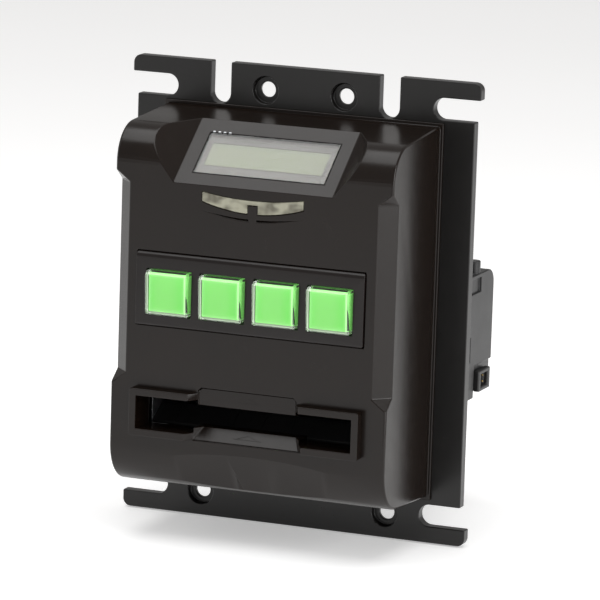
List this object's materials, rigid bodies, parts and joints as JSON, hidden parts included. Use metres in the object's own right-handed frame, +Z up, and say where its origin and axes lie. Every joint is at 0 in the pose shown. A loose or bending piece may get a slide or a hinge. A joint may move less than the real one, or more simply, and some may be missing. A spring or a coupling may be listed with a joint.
{
  "type": "ticket acceptor module",
  "caption": "Panel-mounted ticket and note acceptor with a slotted flange plate, a hollow front cover, a tilted display, lit square buttons, a wide ticket mouth and a motor-driven transport.",
  "frame": {"origin": "centre of the flange plate's rear face", "axes": "+X across the front, to the right when seen from the front; +Y from the front to the rear; +Z up"},
  "size_m": [0.14, 0.1334, 0.1758],
  "materials": {
    "cover_black": "semi-gloss moulded ABS",
    "plate_black": "semi-gloss moulded ABS",
    "panel_black": "fine textured",
    "housing_grey": "satin moulded",
    "clear_window": "clear polished",
    "display_green": "backlit liquid crystal",
    "display_metal": "satin",
    "lens_clear": "translucent",
    "emitter": "moulded",
    "cap_clear": "clear polished",
    "insert_green": "lit from behind",
    "mechanism_black": "moulded",
    "spring_steel": "drawn wire",
    "board_green": "solder mask",
    "component_black": "moulded",
    "zinc_sheet": "zinc plated",
    "ground_steel": "ground",
    "roller_rubber": "moulded",
    "acetal_white": "moulded",
    "belt_rubber": "toothed",
    "screw_black": "black oxide"
  },
  "bodies": {
    "base": {"board_components": "component_black", "button_board": "board_green", "button_panel": "panel_black", "button_springs": "spring_steel", "button_switches": "mechanism_black", "chassis_left": "zinc_sheet", "chassis_right": "zinc_sheet", "chassis_screws": "screw_black", "chassis_ties": "ground_steel", "cover_screws": "screw_black", "display_board": "board_green", "display_frame": "display_metal", "display_glass": "display_green", "display_window": "clear_window", "drive_belt": "belt_rubber", "front_cover": "cover_black", "housing_screws": "screw_black", "idler_pin": "ground_steel", "lid_pin": "ground_steel", "lower_guide": "mechanism_black", "main_board": "board_green", "motor": "zinc_sheet", "mounting_plate": "plate_black", "mouth_bezel": "cover_black", "rear_housing": "housing_grey", "shutter_rails": "mechanism_black", "socket_block": "housing_grey", "status_emitters": "emitter", "status_lens": "lens_clear", "status_light_board": "board_green", "upper_guide": "mechanism_black"},
    "shutter": {"shutter_plate": "zinc_sheet"},
    "front_drive": {"front_drive_shaft": "ground_steel", "front_drive_rollers": "roller_rubber", "front_pulley": "acetal_white"},
    "rear_drive": {"rear_drive_shaft": "ground_steel", "rear_drive_rollers": "roller_rubber", "rear_pulley": "acetal_white", "rear_gear": "acetal_white"},
    "front_pinch": {"front_pinch_axle": "ground_steel", "front_pinch_rollers": "acetal_white"},
    "rear_pinch": {"rear_pinch_axle": "ground_steel", "rear_pinch_rollers": "acetal_white"},
    "idler": {"idler_gear": "acetal_white"},
    "motor_rotor": {"motor_shaft": "ground_steel", "motor_pinion": "acetal_white"},
    "lid": {"access_lid": "housing_grey"},
    "latch": {"lid_latch": "mechanism_black"},
    "button_1": {"button_1_cap": "cap_clear", "button_1_insert": "insert_green", "button_1_plunger": "mechanism_black"},
    "button_2": {"button_2_cap": "cap_clear", "button_2_insert": "insert_green", "button_2_plunger": "mechanism_black"},
    "button_3": {"button_3_cap": "cap_clear", "button_3_insert": "insert_green", "button_3_plunger": "mechanism_black"},
    "button_4": {"button_4_cap": "cap_clear", "button_4_insert": "insert_green", "button_4_plunger": "mechanism_black"}
  },
  "joints": [
    {"name": "button_1_press", "type": "slide", "parent": "base", "child": "button_1", "axis": [0, 1, 0], "range_m": [0, 0.0025], "stiffness_N_per_m": 400, "springref_m": -0.001, "deforming": ["button_springs"]},
    {"name": "button_2_press", "type": "slide", "parent": "base", "child": "button_2", "axis": [0, 1, 0], "range_m": [0, 0.0025], "stiffness_N_per_m": 400, "springref_m": -0.001, "deforming": ["button_springs"]},
    {"name": "button_3_press", "type": "slide", "parent": "base", "child": "button_3", "axis": [0, 1, 0], "range_m": [0, 0.0025], "stiffness_N_per_m": 400, "springref_m": -0.001, "deforming": ["button_springs"]},
    {"name": "button_4_press", "type": "slide", "parent": "base", "child": "button_4", "axis": [0, 1, 0], "range_m": [0, 0.0025], "stiffness_N_per_m": 400, "springref_m": -0.001, "deforming": ["button_springs"]},
    {"name": "shutter_slide", "type": "slide", "parent": "base", "child": "shutter", "axis": [0, 0, -1], "range_m": [0, 0.013]},
    {"name": "rear_drive_spin", "type": "hinge", "parent": "base", "child": "rear_drive", "pos_m": [0, 0.044, -0.03065], "axis": [1, 0, 0], "continuous": true},
    {"name": "front_drive_spin", "type": "hinge", "parent": "base", "child": "front_drive", "pos_m": [0, -0.022, -0.03065], "axis": [1, 0, 0], "continuous": true},
    {"name": "front_pinch_spin", "type": "hinge", "parent": "base", "child": "front_pinch", "pos_m": [0, -0.022, -0.04225], "axis": [1, 0, 0], "continuous": true},
    {"name": "rear_pinch_spin", "type": "hinge", "parent": "base", "child": "rear_pinch", "pos_m": [0, 0.044, -0.04055], "axis": [1, 0, 0], "continuous": true},
    {"name": "idler_spin", "type": "hinge", "parent": "base", "child": "idler", "pos_m": [0, 0.03071, -0.02027], "axis": [1, 0, 0], "continuous": true},
    {"name": "motor_spin", "type": "hinge", "parent": "base", "child": "motor_rotor", "pos_m": [0, 0.01995, -0.01186], "axis": [1, 0, 0], "continuous": true},
    {"name": "lid_hinge", "type": "hinge", "parent": "base", "child": "lid", "pos_m": [0, 0.0624, 0.0068], "axis": [-1, 0, 0], "range_deg": [0, 95]},
    {"name": "latch_slide", "type": "slide", "parent": "lid", "child": "latch", "axis": [-1, 0, 0], "range_m": [0, 0.003]}
  ],
  "couplings": [
    {"joint": "front_drive_spin", "follows": "rear_drive_spin", "ratio": 1},
    {"joint": "front_pinch_spin", "follows": "rear_drive_spin", "ratio": -1.875},
    {"joint": "rear_pinch_spin", "follows": "rear_drive_spin", "ratio": -3.2609},
    {"joint": "idler_spin", "follows": "rear_drive_spin", "ratio": -0.90909},
    {"joint": "motor_spin", "follows": "rear_drive_spin", "ratio": 1.6667}
  ]
}
